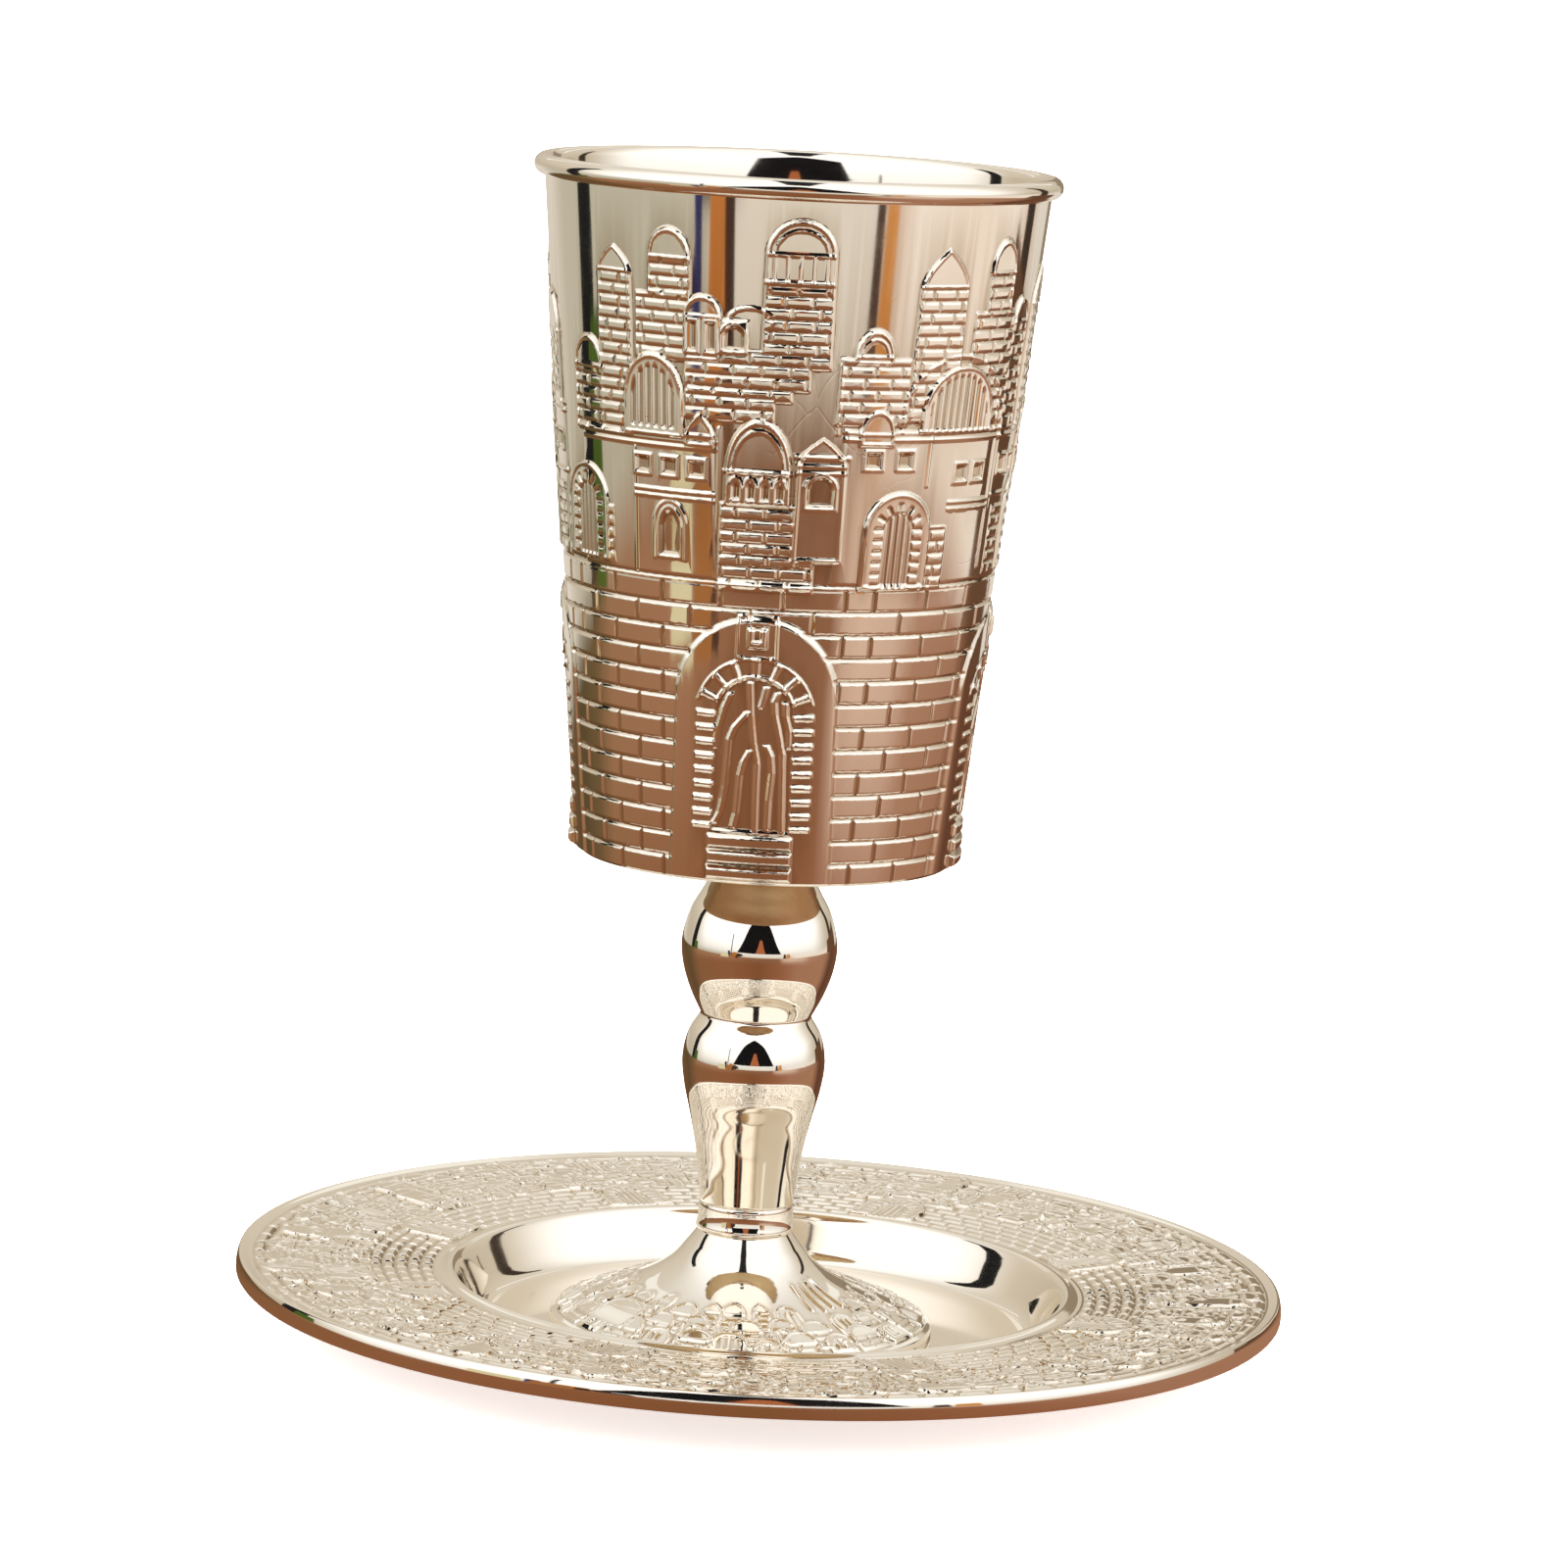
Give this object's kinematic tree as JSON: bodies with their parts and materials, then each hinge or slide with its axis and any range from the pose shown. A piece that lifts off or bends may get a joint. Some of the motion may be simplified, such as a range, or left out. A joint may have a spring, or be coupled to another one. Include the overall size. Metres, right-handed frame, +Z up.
{
  "type": "kiddush cup with saucer",
  "caption": "Stemmed beaker with a rolled rim, a city in low relief round its wall, a double-bulb stem and a bell foot, standing in the well of a relief-rimmed saucer.",
  "frame": {"origin": "centre of the saucer's flat underside, on the surface it stands on", "axes": "+Z up along the cup, -Y towards the front gate of the cup's wall, +X to its right"},
  "size_m": [0.1258, 0.1258, 0.1408],
  "materials": {
    "bowl": "bright silver plate, relief chased outside, mirror inside",
    "stem": "mirror-polished silver plate",
    "foot": "polished silver plate with relief on the flare",
    "saucer": "silver plate, mirror well and sparkling relief rim"
  },
  "bodies": {
    "root": {"bowl": "bowl", "stem": "stem", "foot": "foot", "saucer": "saucer"}
  },
  "joints": []
}
